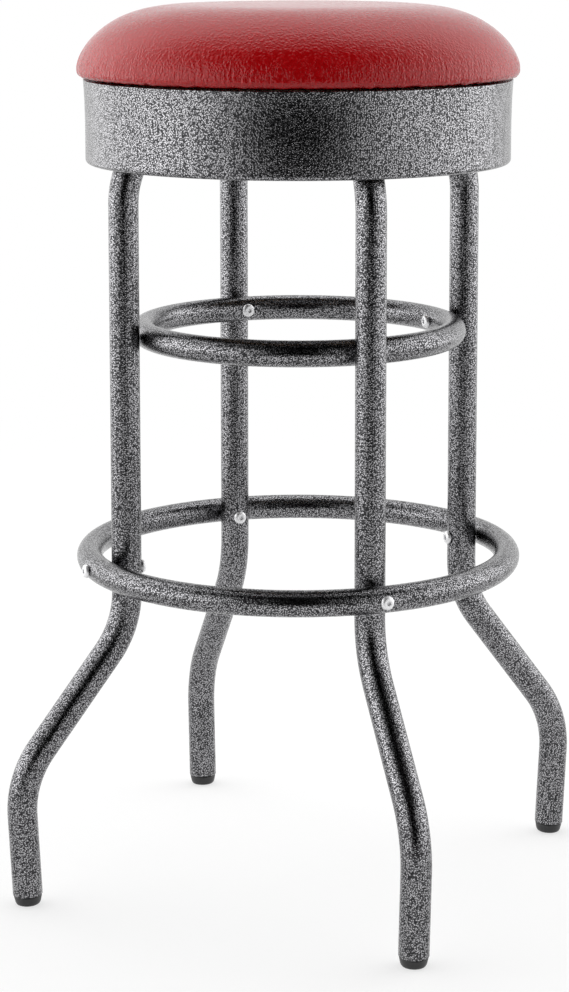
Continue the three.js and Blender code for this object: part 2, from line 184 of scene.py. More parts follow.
# Waves round the seat
# Each is the range of their numbers of crests and the seed of their random draws.
FOLD_TOP_WAVES = ((20, 60), 9)
COARSE_FOLD_WAVES = ((120, 210), 3)
FINE_FOLD_WAVES = ((210, 330), 4)
FOLD_DEPTH_WAVES = ((3, 11), 5)
SWELL_WAVES = ((2, 6), 6)
COARSE_DROOP_WAVES = ((24, 60), 8)
FINE_DROOP_WAVES = ((60, 140), 10)
CROWN_WAVES = ((2, 5), 7)
WAVES_ADDED = 14
WAVE_LEAST_SHARE = 0.4
WAVES_HEIGHT = 3.2

# Cloth simulation of the cushion's skin
SKIN_INSET = 1.6 * MM
SKIN_STEPS = 160
SKIN_VOXEL = 5 * MM
SKIN_HELD = 4 * MM
SKIN_PRESSURE = 4
SKIN_QUALITY = 5
SKIN_FRAMES = 20
SKIN_LIMIT = 6 * MM
SKIN_REACH = 12 * MM
SKIN_SAMPLES = 180
SKIN_WAVES = 14
SKIN_BLUR = 9
SKIN_SHARE = 0.2
SKIN_FADE = 60 * MM
SKIN_HEM_SPACE = 2 * MM
SKIN_HEM_FADE = 12 * MM
SKIN_SWELL_LIMIT = 1 * MM

# Screws, bolts and nuts
# A socket's rim and mouth shares are of its radius, its end share is of its depth.
HEAD_R = 5.8 * MM
HEAD_HEIGHT = 3.3 * MM
HEAD_EDGE = 0.6 * MM
HEAD_CHAMFER = 0.2 * MM
HEAD_DOME_STEPS = 10
HEAD_SIDES = 48
SOCKET_R = 2.2 * MM
SOCKET_DEPTH = 2 * MM
SOCKET_CHAMFER = 0.12 * MM
SOCKET_RIM_SHARE = 1.3
SOCKET_MOUTH_SHARE = 1.12
SOCKET_END_SHARE = 1.15
HEX_SIDES = 6
SQUARE_SIDES = 4
BOLT_R = 3 * MM
UPPER_SCREW_LENGTH = 33 * MM
UPPER_SCREW_SINK = 0.76 * MM
FOOT_BOLT_LENGTH = 38.8 * MM
SLEEVE_R = 4.2 * MM
SLEEVE_BORE = BOLT_R + FIT
SLEEVE_LENGTH = 20 * MM
SLEEVE_CAP = 1 * MM
WOOD_SCREW_SHARE = 0.76
WOOD_SCREW_R = 2.2 * MM
WOOD_SCREW_COVER = 2 * MM
WOOD_SCREW_POINT = 3 * MM
WOOD_SCREW_TIP = 0.3 * MM
WOOD_SCREW_BLUNT = 0.1 * MM
APRON_SCREW_SPACE = 3.8 * MM
APRON_SCREW_EDGE = 8 * MM
APRON_SCREW_CIRCLE = LIP_RADIUS - APRON_SCREW_SPACE - WOOD_SCREW_R
APRON_SCREW_Z = APRON_TOP - APRON_SHEET - FIT
FLANGE_RADIUS = APRON_SCREW_CIRCLE - APRON_SCREW_EDGE
PLATE_SCREW_CIRCLE = 98.3 * MM
PLATE_SCREW_Z = TOP_PLATE_Z - FIT
UPRIGHT = 0
OUTWARD = 90
INWARD = -90

# Swivel
BALLS = 12
BALL_R = 3 * MM
BALL_FINENESS = 3
BALL_Z = TOP_PLATE_Z - PLATE_SPACE / 2
BALL_CIRCLE = 48.1 * MM
CAGE_THICKNESS = 1.2 * MM
CAGE_MARGIN = 2.5 * MM
CAGE_STEPS = 96
RIVET_R = 7.5 * MM
RIVET_LOW = BOTTOM_PLATE_Z - FIT
RIVET_HIGH = TOP_PLATE_Z + PLATE_THICKNESS + FIT
RIVET_HEAD_LAP = 4.5 * MM
RIVET_HEAD_R = RIVET_R + RIVET_HEAD_LAP
RIVET_HEAD = 2.5 * MM
RIVET_EDGE = 1 * MM
RIVET_FILLET = 0.8 * MM
RIVET_STEPS = 64
SOFT_EDGE = 0.3 * MM

# Finishes
# A grain is a texture's scale. Paired colours are mixed, first to last, by a texture.
# Roughness pairs are what a texture adds at most and what is there without it.
PAINT_GRAIN = 800
PAINT_SCATTER = 0.8
PAINT_DENT = 0.14 * MM
PAINT_DRIFT = 0.4 * MM
PAINT_DRIFT_GRAIN = 420
PAINT_VEINS = ((0.20, 1.0), (0.38, 0.40), (0.58, 0.0))
PAINT_ROUGHNESS = (-0.04, 0.22)
PAINT_PITS = ((0.030, 0.030, 0.032, 1), (0.038, 0.038, 0.040, 1))
PAINT_SILVER = ((0.56, 0.555, 0.575, 1), (0.64, 0.635, 0.655, 1))
MOTTLE_GRAIN = 260
MOTTLE = ((0.35, 0.0), (0.65, 1.0))
LEATHER_GRAIN = 420
LEATHER_DENT = 0.26 * MM
LEATHER_VALLEYS = ((0.15, 0.0), (0.65, 1.0))
LEATHER_DRIFT = 6 * MM
LEATHER_DRIFT_GRAIN = 90
WRINKLE_GRAIN = 340
WRINKLE_DENT = 0.24 * MM
WRINKLE_HEIGHT_SHARE = 0.14
WRINKLES_FROM = FOLDS_TOP
WRINKLES_TO = SHOULDER_Z
WRINKLES_SPREAD = 22 * MM
WRINKLES_SPREAD_GRAIN = 45
VINYL_TONE_GRAIN = 14
VINYL_REDS = ((0.48, 0.003, 0.005, 1), (0.52, 0.0045, 0.0075, 1))
# Painted shade: a darker red for the leather grain's valleys, standing in for the shade that falls in them.
VINYL_VALLEY_SHADE = (0.40, 0.002, 0.0035, 1)
VINYL_ROUGHNESS = (0.04, 0.09)
VINYL_SHINE = 0.33
METAL_CLOUD_GRAIN = 120
METAL_CLOUD_ROUGHNESS = 0.16
METAL_DENT = 0.05 * MM
METAL_DARK_SHARE = 0.86
ZINC_GREY = (0.90, 0.90, 0.91)
STEEL_GREY = (0.50, 0.51, 0.53)
PLASTIC_GRAIN = 1400
PLASTIC_DENT = 0.08 * MM
PLASTIC_ROUGHNESS = (0.18, 0.42)
SCUFF_GRAIN = 260
SCUFFS = ((0.55, 0.0), (0.75, 1.0))
PLASTIC_BLACKS = ((0.030, 0.030, 0.031, 1), (0.060, 0.060, 0.062, 1))
PLY_STRETCH = (3, 42, 42)
PLY_GRAIN = 6
PLY_DENT = 0.2 * MM
PLY_LAYER = 3.4 * MM
PLY_LAYER_TONE = 0.12
PLY_ROUGHNESS = 0.74
PLY_BROWNS = ((0.25, (0.36, 0.20, 0.095)), (0.5, (0.56, 0.36, 0.19)), (0.8, (0.68, 0.48, 0.28)))

# Camera
# The focal length and the sideways shift are in pixels of the photograph.
CAMERA_AZIMUTH = math.radians(23.1)
CAMERA_DISTANCE = 2.2856
CAMERA_HEIGHT = 0.8309
CAMERA_PITCH = math.radians(8.048)
FOCAL_PIXELS = 2677.8
LONG_SIDE = 992
SIDE_SHIFT_PIXELS = -13.7
UP_SHIFT_SHARE = -0.1985
CAMERA_SHIFT = (SIDE_SHIFT_PIXELS / LONG_SIDE, UP_SHIFT_SHARE)
CAMERA_REACH = 60
SENSOR = 36

# Studio
# Bright panels all round, a bright lid, and a white backdrop that only the camera sees.
# The side towards the photographer is dark. A panel's place is in degrees from there, positive to the right.
# A place on the lid is its share of the way to the front, negative to the back.
PANEL_LEVEL = 2.6
PANELS = (
    (-180, 1.0), (-155, 1.0), (-130, 2.2), (-108, 2.1), (-85, 2.5), (-48, 1.6), (-33, 0.85), (-21, 0.1),
    (-13, 0.0), (15, 0.0), (24, 0.15), (45, 1.05), (75, 1.7), (100, 2.1), (120, 2.3), (140, 1.3), (155, 1.0),
    (180, 1.0),
)
LID_LEVEL = 2.0
LID = ((-0.8, 1.1), (-0.5, 1.7), (-0.35, 1.65), (-0.05, 0.8), (0.3, 0.0))
LID_STARTS = 0.35
LID_WHOLE = 0.85
FLOOR_RADIUS = 2.4
FLOOR_DROP = 0.05 * MM
FLOOR_STEPS = 96
FLOOR_GREY = (0.42, 0.42, 0.42, 1)
FLOOR_ROUGHNESS = 0.9
FLOOR_LIFT = 0.62
FADE_STARTS = 0.7
FADE_ENDS = 2.2


# Meshes
def make(name, verts, faces, material, crease=40):
    """A new piece that is shaded smooth, with edges sharper than the crease angle kept sharp."""
    mesh = bpy.data.meshes.new(name)
    mesh.from_pydata([tuple(v) for v in verts], [], faces)
    mesh.validate()
    mesh.polygons.foreach_set("use_smooth", [True] * len(mesh.polygons))
    mesh.set_sharp_from_angle(angle=math.radians(crease))
    mesh.materials.append(material)
    piece = bpy.data.objects.new(name, mesh)
    bpy.context.scene.collection.objects.link(piece)
    return piece


def dressed(piece, body, slot, *nodes):
    """The piece rides on its body and stands for these nodes. Its slot is not used."""
    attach(piece, body)
    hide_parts(*nodes)
    return piece


def arc(centre, radius, start, end, steps):
    """Points of an arc about (radius, height), angles in degrees, both ends included."""
    angles = np.radians(np.linspace(start, end, steps + 1))
    return [(centre[0] + radius * math.cos(a), centre[1] + radius * math.sin(a)) for a in angles]


def filleted(points, radius, steps=4):
    """An open outline with its inner corners rounded off."""
    out = [points[0]]
    for before, corner, after in zip(points, points[1:], points[2:]):
        corner = Vector(corner)
        back, ahead = Vector(before) - corner, Vector(after) - corner
        reach = min(radius, back.length / 2.01, ahead.length / 2.01)
        start, end = corner + back.normalized() * reach, corner + ahead.normalized() * reach
        for i in range(steps + 1):
            t = i / steps
            point = start * (1 - t) ** 2 + corner * 2 * t * (1 - t) + end * t ** 2
            out.append(tuple(point))
    return out + [points[-1]]


def polygon_radius(radius, sides, angle):
    """How far a polygon with that corner radius reaches at an angle."""
    part = math.pi / sides
    return radius * math.cos(part) / math.cos(angle % (2 * part) - part)


def turned(rings, steps, closed=False):
    """Vertices and faces of rings turned about Z: (radius, height) or (radius, height, polygon sides)."""
    verts, loops = [], []
    for ring in rings:
        radius, height, sides = (*ring, 0)[:3]
        if radius < POLE_R:
            loops.append([len(verts)])
            verts.append((0, 0, height))
            continue
        loops.append(list(range(len(verts), len(verts) + steps)))
        for i in range(steps):
            angle = TURN * i / steps
            r = polygon_radius(radius, sides, angle) if sides else radius
            verts.append((r * math.cos(angle), r * math.sin(angle), height))
    if closed:
        loops.append(loops[0])
    return verts, skin(loops)


def skin(loops):
    """Faces between neighbouring closed loops of vertices. A loop of one vertex is a pole."""
    faces = []
    for low, high in zip(loops, loops[1:]):
        steps = max(len(low), len(high))
        for i in range(steps):
            j = (i + 1) % steps
            if len(low) == 1:
                faces.append((low[0], high[j], high[i]))
            elif len(high) == 1:
                faces.append((low[i], low[j], high[0]))
            else:
                faces.append((low[i], low[j], high[j], high[i]))
    return faces


def lathe(name, rings, steps, material, closed=False, crease=40):
    """A new piece turned from rings. A closed one joins its last ring to its first."""
    verts, faces = turned(rings, steps, closed)
    return make(name, verts, faces, material, crease)


def set_in_place(piece, *matrices):
    """Moves the mesh itself, so that the object stays at the origin."""
    for matrix in matrices:
        piece.data.transform(matrix)
    piece.data.update()
    return piece


def spun(degrees):
    """A turn about the swivel axis."""
    return Matrix.Rotation(math.radians(degrees), 4, "Z")


# Node trees
def feed(tree, node, inputs):
    """Links or sets a node's inputs."""
    for key, value in inputs.items():
        if isinstance(value, bpy.types.NodeSocket):
            tree.links.new(value, node.inputs[key])
        else:
            node.inputs[key].default_value = value


def add(tree, kind, inputs=None, **settings):
    """A new node with its settings and inputs."""
    node = tree.nodes.new(kind)
    for key, value in settings.items():
        setattr(node, key, value)
    feed(tree, node, inputs or {})
    return node


def maths(tree, operation, *values):
    """One calculation with numbers."""
    return add(tree, "ShaderNodeMath", dict(enumerate(values)), operation=operation).outputs[0]


def vectors(tree, operation, *values):
    """One calculation with vectors."""
    out = "Value" if operation in ("DOT_PRODUCT", "LENGTH") else "Vector"
    return add(tree, "ShaderNodeVectorMath", dict(enumerate(values)), operation=operation).outputs[out]


def ramp(tree, value, *stops):
    """A colour ramp through (place, grey or colour) stops."""
    node = add(tree, "ShaderNodeValToRGB", {0: value})
    elements = node.color_ramp.elements
    while len(elements) < len(stops):
        elements.new(0.5)
    for element, (place, colour) in zip(elements, stops):
        element.position = place
        element.color = (*colour, 1) if isinstance(colour, tuple) else (colour, colour, colour, 1)
    return node.outputs[0]


def mixed(tree, factor, first, second):
    """The first colour where the factor is 0, the second where it is 1."""
    node = add(tree, "ShaderNodeMix", {0: factor, 6: first, 7: second}, data_type="RGBA")
    return node.outputs[2]


def noise_of(tree, place, scale, detail=2.0, roughness=0.5, distortion=0.0):
    """The outputs of a noise texture."""
    inputs = {"Vector": place, "Scale": scale, "Detail": detail, "Roughness": roughness}
    inputs["Distortion"] = distortion
    return add(tree, "ShaderNodeTexNoise", inputs).outputs


def eased(tree, value, start, end, first=0.0, last=1.0):
    """Goes smoothly from the first value to the last one between start and end."""
    inputs = {0: value, 1: start, 2: end, 3: first, 4: last}
    return add(tree, "ShaderNodeMapRange", inputs, interpolation_type="SMOOTHSTEP").outputs[0]


def new_material(name):
    """A node material, its tree, its shader and the place on the piece in metres."""
    material = bpy.data.materials.new(name)
    material.use_nodes = True
    tree = material.node_tree
    place = add(tree, "ShaderNodeTexCoord").outputs["Object"]
    return material, tree, tree.nodes["Principled BSDF"], place


def bumped(tree, height, strength, distance, normal=None):
    """The surface's normal, or another one, tilted as that height rises and falls."""
    inputs = {"Height": height, "Strength": strength, "Distance": distance}
    if normal is not None:
        inputs["Normal"] = normal
    return add(tree, "ShaderNodeBump", inputs).outputs[0]


def wandering(tree, place, grain, detail, reach):
    """The place, pushed by noise up to half the reach either way, so that a pattern looks less even."""
    drift = vectors(tree, "SUBTRACT", noise_of(tree, place, grain, detail)["Color"], (0.5, 0.5, 0.5))
    return vectors(tree, "ADD", place, vectors(tree, "MULTIPLY", drift, (reach,) * 3))


def hammertone():
    """Powder coat: fine silvery specks that run together between dark pits."""
    material, tree, shader, place = new_material("hammertone_paint")
    wander = wandering(tree, place, PAINT_DRIFT_GRAIN, 1, PAINT_DRIFT)
    inputs = {"Vector": wander, "Scale": PAINT_GRAIN, "Randomness": PAINT_SCATTER}
    specks = add(tree, "ShaderNodeTexVoronoi", inputs, feature="F1").outputs["Distance"]
    veins = ramp(tree, specks, *PAINT_VEINS)
    mottle = ramp(tree, noise_of(tree, place, MOTTLE_GRAIN, 2)["Fac"], *MOTTLE)
    pits, silver = mixed(tree, mottle, *PAINT_PITS), mixed(tree, mottle, *PAINT_SILVER)
    feed(tree, shader, {
        "Base Color": mixed(tree, veins, pits, silver),
        "Metallic": 1.0,
        "Roughness": maths(tree, "MULTIPLY_ADD", veins, *PAINT_ROUGHNESS),
        "Normal": bumped(tree, specks, 1.0, -PAINT_DENT),
    })
    return material


def vinyl():
    """Red upholstery vinyl: leather grain with painted shade in its valleys, and fine upright wrinkles where
    it is pulled down at the side.
    """
    material, tree, shader, place = new_material("red_vinyl_grain")
    wander = wandering(tree, place, LEATHER_DRIFT_GRAIN, 2, LEATHER_DRIFT)
    inputs = {"Vector": wander, "Scale": LEATHER_GRAIN}
    pebbles = add(tree, "ShaderNodeTexVoronoi", inputs, feature="F1").outputs["Distance"]
    valleys = ramp(tree, pebbles, *LEATHER_VALLEYS)
    pulled = vectors(tree, "MULTIPLY", wander, (1, 1, WRINKLE_HEIGHT_SHARE))
    folds = noise_of(tree, pulled, WRINKLE_GRAIN, 1.5, 0.5)["Fac"]
    ridges = maths(tree, "ABSOLUTE", maths(tree, "MULTIPLY_ADD", folds, 5.0, -2.5))
    height = add(tree, "ShaderNodeSeparateXYZ", {0: place}).outputs["Z"]
    spread = noise_of(tree, place, WRINKLES_SPREAD_GRAIN, 2)["Fac"]
    reach = maths(tree, "MULTIPLY_ADD", spread, WRINKLES_SPREAD, height)
    low = eased(tree, reach, WRINKLES_FROM, WRINKLES_TO, 1.0, 0.0)
    wrinkles = maths(tree, "MULTIPLY", maths(tree, "MINIMUM", ridges, 1.0), low)
    creased = bumped(tree, wrinkles, 1.0, -WRINKLE_DENT)
    red = mixed(tree, noise_of(tree, place, VINYL_TONE_GRAIN, 3)["Fac"], *VINYL_REDS)
    # The base colour turns darker in the grain's valleys: painted shade.
    feed(tree, shader, {
        "Base Color": mixed(tree, valleys, red, VINYL_VALLEY_SHADE),
        "Roughness": maths(tree, "MULTIPLY_ADD", valleys, *VINYL_ROUGHNESS),
        "Normal": bumped(tree, valleys, 1.0, -LEATHER_DENT, creased),
    })
    shader.inputs["Specular IOR Level"].default_value = VINYL_SHINE
    return material


def metal(name, colour, roughness, grain=900, bump=0.03):
    """Plated or plain steel with faint clouds and a fine grain."""
    material, tree, shader, place = new_material(name)
    cloud = noise_of(tree, place, METAL_CLOUD_GRAIN, 4)["Fac"]
    fine = noise_of(tree, place, grain, 2)["Fac"]
    darker = [part * METAL_DARK_SHARE for part in colour]
    feed(tree, shader, {
        "Base Color": mixed(tree, cloud, (*darker, 1), (*colour, 1)),
        "Metallic": 1.0,
        "Roughness": maths(tree, "MULTIPLY_ADD", cloud, METAL_CLOUD_ROUGHNESS, roughness),
        "Normal": bumped(tree, fine, bump, METAL_DENT),
    })
    return material


def black_plastic():
    """Black moulded plastic with paler scuffs."""
    material, tree, shader, place = new_material("black_plastic_moulded")
    fine = noise_of(tree, place, PLASTIC_GRAIN, 3)["Fac"]
    scuffs = ramp(tree, noise_of(tree, place, SCUFF_GRAIN, 5, 0.7)["Fac"], *SCUFFS)
    feed(tree, shader, {
        "Base Color": mixed(tree, scuffs, *PLASTIC_BLACKS),
        "Roughness": maths(tree, "MULTIPLY_ADD", scuffs, *PLASTIC_ROUGHNESS),
        "Normal": bumped(tree, fine, 0.25, PLASTIC_DENT),
    })
    return material


def plywood():
    """Bare plywood: long grain on the face and thin layers on the edge."""
    material, tree, shader, place = new_material("plywood_bare")
    along = vectors(tree, "MULTIPLY", place, PLY_STRETCH)
    grain = noise_of(tree, along, PLY_GRAIN, 6, 0.62, 0.5)["Fac"]
    height = add(tree, "ShaderNodeSeparateXYZ", {0: place}).outputs["Z"]
    layers = maths(tree, "SINE", maths(tree, "MULTIPLY", height, TURN / PLY_LAYER))
    tone = maths(tree, "MULTIPLY_ADD", layers, PLY_LAYER_TONE, grain)
    feed(tree, shader, {
        "Base Color": ramp(tree, tone, *PLY_BROWNS),
        "Roughness": PLY_ROUGHNESS,
        "Normal": bumped(tree, grain, 0.2, PLY_DENT),
    })
    return material


PAINT = hammertone()
VINYL = vinyl()
ZINC = metal("zinc_plate", ZINC_GREY, 0.40)
STEEL = metal("plain_steel_sheet", STEEL_GREY, 0.30, grain=500, bump=0.08)
PLASTIC = black_plastic()
WOOD = plywood()


# Legs
def leg_route():
    """Stations (x, z, heading) of the tube's centre line. A heading is from straight down, outwards."""
    stations = [(LEG_END, LEG_TOP, math.pi / 2)]

    def straight(length, steps):
        x, z, heading = stations[-1]
        for i in range(1, steps + 1):
            run = length * i / steps
            stations.append((x + run * math.sin(heading), z - run * math.cos(heading), heading))

    def bend(radius, to):
        x, z, start = stations[-1]
        side = math.copysign(radius, to - start)
        for i in range(1, BEND_STEPS + 1):
            heading = start + (to - start) * i / BEND_STEPS
            stations.append((
                x + side * (math.cos(start) - math.cos(heading)),
                z + side * (math.sin(start) - math.sin(heading)),
                heading,
            ))

    reach = KNEE_RADIUS * (1 - math.cos(SPLAY))
    slope = (ANKLE_CIRCLE - LEG_CIRCLE - 2 * reach) / math.sin(SPLAY)
    knee = ANKLE_HEIGHT + 2 * KNEE_RADIUS * math.sin(SPLAY) + slope * math.cos(SPLAY)
    toe = (ANKLE_HEIGHT - KNEE_RADIUS * math.sin(TOE_IN) - PLUG_HEIGHT) / math.cos(TOE_IN)
    straight(LEG_CIRCLE - HEAD_RADIUS - LEG_END, HEAD_STEPS)
    bend(HEAD_RADIUS, 0)
    straight(LEG_TOP - HEAD_RADIUS - knee, SHANK_STEPS)
    bend(KNEE_RADIUS, SPLAY)
    straight(slope, SPLAY_STEPS)
    bend(KNEE_RADIUS, -TOE_IN)
    straight(toe, TOE_STEPS)
    return stations


def tube(name, stations, material):
    """A hollow tube along the stations, open at both ends."""
    verts, loops = [], []

    def loop(station, radius, shift=0.0):
        x, z, heading = station
        x, z = x + shift * math.sin(heading), z - shift * math.cos(heading)
        loops.append(list(range(len(verts), len(verts) + LEG_SIDES)))
        for i in range(LEG_SIDES):
            angle = TURN * i / LEG_SIDES
            out, side = radius * math.cos(angle), radius * math.sin(angle)
            verts.append((x + out * math.cos(heading), side, z + out * math.sin(heading)))

    first, last = stations[0], stations[-1]
    bore = LEG_R - LEG_WALL
    loop(first, LEG_R - TUBE_EASE)
    loop(first, LEG_R, TUBE_EASE)
    for station in stations[1:-1]:
        loop(station, LEG_R)
    loop(last, LEG_R, -TUBE_EASE)
    loop(last, LEG_R - TUBE_EASE)
    loop(last, bore)
    for station in reversed(stations[1:-1]):
        loop(station, bore)
    loop(first, bore)
    loops.append(loops[0])
    return make(name, verts, skin(loops), material, crease=50)


def plug(name, end, material):
    """Tapered foot plug with a moulded rim, cut level by the floor."""
    base = -PLUG_HEIGHT - PLUG_TRIM
    outline = [
        (0, base),
        (PLUG_FACE, base),
        (PLUG_FACE + PLUG_ROUND * 2 / 3, base + PLUG_ROUND / 3),
        (PLUG_FACE + PLUG_ROUND, base + PLUG_ROUND),
        (PLUG_RIM, -FIT),
        (PLUG_STEM, -FIT),
        (PLUG_STEM - PLUG_STEM_TAPER, PLUG_STEM_LENGTH),
        (0, PLUG_STEM_LENGTH),
    ]
    piece = lathe(name, filleted(outline, PLUG_FILLET), LEG_SIDES, material)
    x, z, _ = end
    set_in_place(piece, Matrix.Rotation(TOE_IN, 4, "Y"), Matrix.Translation((x, 0, z)))
    for vertex in piece.data.vertices:
        vertex.co.z = max(vertex.co.z, 0)
    return piece


# Fasteners
def button(name, shank, material, sides=HEX_SIDES, size=1.0):
    """Domed head with a driver socket. Its seat is at z = 0 and the shank points along +Z."""
    radius, height, socket, depth = (v * size for v in (HEAD_R, HEAD_HEIGHT, SOCKET_R, SOCKET_DEPTH))
    rim = socket * SOCKET_RIM_SHARE
    rings = [(0, shank[-1][1])] + shank[::-1]
    rings += [(radius - HEAD_CHAMFER, 0), (radius, -HEAD_CHAMFER)]
    for across, up in arc((0, 0), 1, 0, 90, HEAD_DOME_STEPS):
        rings.append((rim + (radius - rim) * across, -HEAD_EDGE - (height - HEAD_EDGE) * up))
    rings.append((socket * SOCKET_MOUTH_SHARE, -height))
    rings += [(socket, -height + SOCKET_CHAMFER, sides), (socket, -height + depth, sides)]
    rings.append((0, -height + depth * SOCKET_END_SHARE))
    return lathe(name, rings, HEAD_SIDES, material, crease=35)


def at_corner(piece, x, z, angle, tilt=UPRIGHT):
    """Puts a fastener at a corner, its shank up or tilted by that many degrees away from the swivel axis."""
    turn = Matrix.Rotation(math.radians(tilt), 4, "Y")
    return set_in_place(piece, turn, Matrix.Translation((x, 0, z)), spun(angle))


def leg_corner(corner, angle):
    """One leg with its foot plug, its upper ring screw and its foot ring bolt and nut."""
    stations = leg_route()
    leg = set_in_place(tube(f"leg_tube_{corner}", stations, PAINT), spun(angle))
    dressed(leg, "base", "hammertone", f"leg_{corner}")
    foot = set_in_place(plug(f"foot_cap_{corner}", stations[-1], PLASTIC), spun(angle))
    dressed(foot, "base", "black_plastic", f"foot_plug_{corner}")
    screw = button(f"upper_ring_button_{corner}", [(BOLT_R, 0), (BOLT_R, UPPER_SCREW_LENGTH)], ZINC)
    at_corner(screw, UPPER_RING_RADIUS - RING_R - UPPER_SCREW_SINK, UPPER_RING_Z, angle, OUTWARD)
    dressed(screw, "base", "zinc", f"upper_ring_screw_{corner}")
    bolt = button(f"foot_ring_button_{corner}", [(BOLT_R, 0), (BOLT_R, FOOT_BOLT_LENGTH)], ZINC)
    at_corner(bolt, FOOT_RING_RADIUS + RING_R + FIT, FOOT_RING_Z, angle, INWARD)
    dressed(bolt, "base", "zinc", f"foot_ring_bolt_{corner}")
    sleeve = [(SLEEVE_R, 0), (SLEEVE_R, SLEEVE_LENGTH)]
    bore = [(SLEEVE_BORE, SLEEVE_LENGTH), (SLEEVE_BORE, SLEEVE_CAP)]
    nut = button(f"foot_ring_sleeve_{corner}", sleeve + bore, ZINC)
    at_corner(nut, LEG_CIRCLE - LEG_R - FIT, FOOT_RING_Z, angle, OUTWARD)
    dressed(nut, "base", "zinc", f"foot_ring_nut_{corner}")


def wood_screw(name, x, z, angle):
    """A smaller head with a square socket and a pointed shank, up into the board at a corner."""
    length = BOARD_TOP - WOOD_SCREW_COVER - z
    point, tip = length - WOOD_SCREW_POINT, length - WOOD_SCREW_BLUNT
    shank = [(WOOD_SCREW_R, 0), (WOOD_SCREW_R, point), (WOOD_SCREW_TIP, tip)]
    piece = button(name, shank, ZINC, SQUARE_SIDES, WOOD_SCREW_SHARE)
    return at_corner(piece, x, z, angle)


def seat_corner(corner, angle):
    """One apron screw and one plate screw, both up into the board."""
    name = f"apron_pan_screw_{corner}"
    screw = wood_screw(name, APRON_SCREW_CIRCLE, APRON_SCREW_Z, angle)
    dressed(screw, "seat", "zinc", f"apron_screw_{corner}")
    name = f"plate_pan_screw_{corner}"
    screw = wood_screw(name, PLATE_SCREW_CIRCLE, PLATE_SCREW_Z, angle)
    dressed(screw, "seat", "zinc", f"seat_plate_screw_{corner}")


# Rings
def ring(name, radius, height, node):
    """One of the two tube rings that tie the legs."""
    section = arc((radius, height), RING_R, 0, 360, RING_SIDES)[:-1]
    piece = lathe(name, section, RING_STEPS, PAINT, closed=True)
    return dressed(piece, "base", "hammertone", node)


# Apron
def apron():
    """Sheet-steel band with a rolled bottom edge, a flared top and a flange under the board."""
    sheet = APRON_SHEET
    centre = (APRON_R - APRON_HEM, APRON_BOTTOM + APRON_HEM)
    top = APRON_R + APRON_FLARE
    flare = APRON_TOP - APRON_FLARE_HEIGHT
    lip = APRON_R - APRON_HEM - APRON_LIP
    wall = [(APRON_R + out, APRON_TOP - down) for out, down in FLARE_CURVE]
    wall.append((top, APRON_TOP - APRON_EDGE))
    rings = [(lip, APRON_BOTTOM)]
    rings += arc(centre, APRON_HEM, -90, 0, HEM_STEPS)
    rings += filleted(wall, FLARE_FILLET)
    rings += [(top - APRON_EDGE, APRON_TOP), (FLANGE_RADIUS, APRON_TOP), (FLANGE_RADIUS, APRON_TOP - sheet)]
    rings.append((top - 4 * sheet, APRON_TOP - sheet))
    corner = [(top - 3 * sheet, APRON_TOP - sheet), (top - 2 * sheet, APRON_TOP - 2 * sheet)]
    inside = [(APRON_R - sheet, flare), (APRON_R - sheet, wall[0][1])]
    rings += filleted(corner + inside, FLANGE_FILLET)
    rings += arc(centre, APRON_HEM - sheet, 0, -90, HEM_BORE_STEPS)
    rings.append((lip, APRON_BOTTOM + sheet))
    piece = lathe("apron_shell", rings, APRON_STEPS, PAINT, closed=True)
    return dressed(piece, "seat", "hammertone", "apron_band")


# Cushion
def crown(steps):
    """The cushion's outline from its widest level over the shoulder to the middle of its top."""
    rise = CUSHION_TOP - CROWN_RISE - WIDEST_Z
    out = []
    for i in range(steps + 1):
        angle = math.pi / 2 * i / steps
        across = max(math.cos(angle), 0) ** (2 / SHOULDER_FULLNESS)
        up = math.sin(angle) ** (2 / SHOULDER_BLUNTNESS)
        out.append((CUSHION_RADIUS - SHOULDER_WIDTH * (1 - across), WIDEST_Z + rise * up))
    edge = CUSHION_RADIUS - SHOULDER_WIDTH
    for i in range(1, TOP_STEPS + 1):
        share = 1 - i / TOP_STEPS
        out.append((edge * share, CUSHION_TOP - CROWN_RISE * share ** 2))
    return out


def tuck(steps):
    """The side from the turned-in hem up to the widest level."""
    out = []
    for i in range(steps):
        angle = math.pi / 2 * (steps - i) / steps
        radius = CUSHION_RADIUS - TUCK * (1 - math.cos(angle))
        out.append((radius, TUCK_Z - (TUCK_Z - HEM_Z) * math.sin(angle)))
    return out + [(CUSHION_RADIUS, TUCK_Z)]


def even(points, spacing):
    """The same outline with evenly spaced points."""
    points = np.array(points)
    run = np.concatenate([[0], np.cumsum(np.linalg.norm(np.diff(points, axis=0), axis=1))])
    places = np.linspace(0, run[-1], int(run[-1] / spacing) + 1)
    radii, heights = (np.interp(places, run, column) for column in points.T)
    return list(zip(radii.tolist(), heights.tolist()))


def softened(points):
    """The outline without the sudden change of curvature where the shoulder meets the flat top."""
    points = np.array(points)
    share = np.clip((SOFTENED_FROM - points[1:-1, :1]) / SOFTENED_OVER, 0, 1)
    for _ in range(SOFTENED_PASSES):
        points[1:-1] += share * ((points[:-2] + points[2:]) / 2 - points[1:-1]) / 2
    return [tuple(point) for point in points]


def waves(angle, counts, seed):
    """A sum of waves round the seat with unlike numbers of crests, about 1 high."""
    random = np.random.default_rng(seed)
    total = np.zeros_like(angle)
    for count in random.integers(*counts, WAVES_ADDED):
        total += random.uniform(WAVE_LEAST_SHARE, 1) * np.cos(count * angle + random.uniform(0, TURN))
    return total / WAVES_HEIGHT


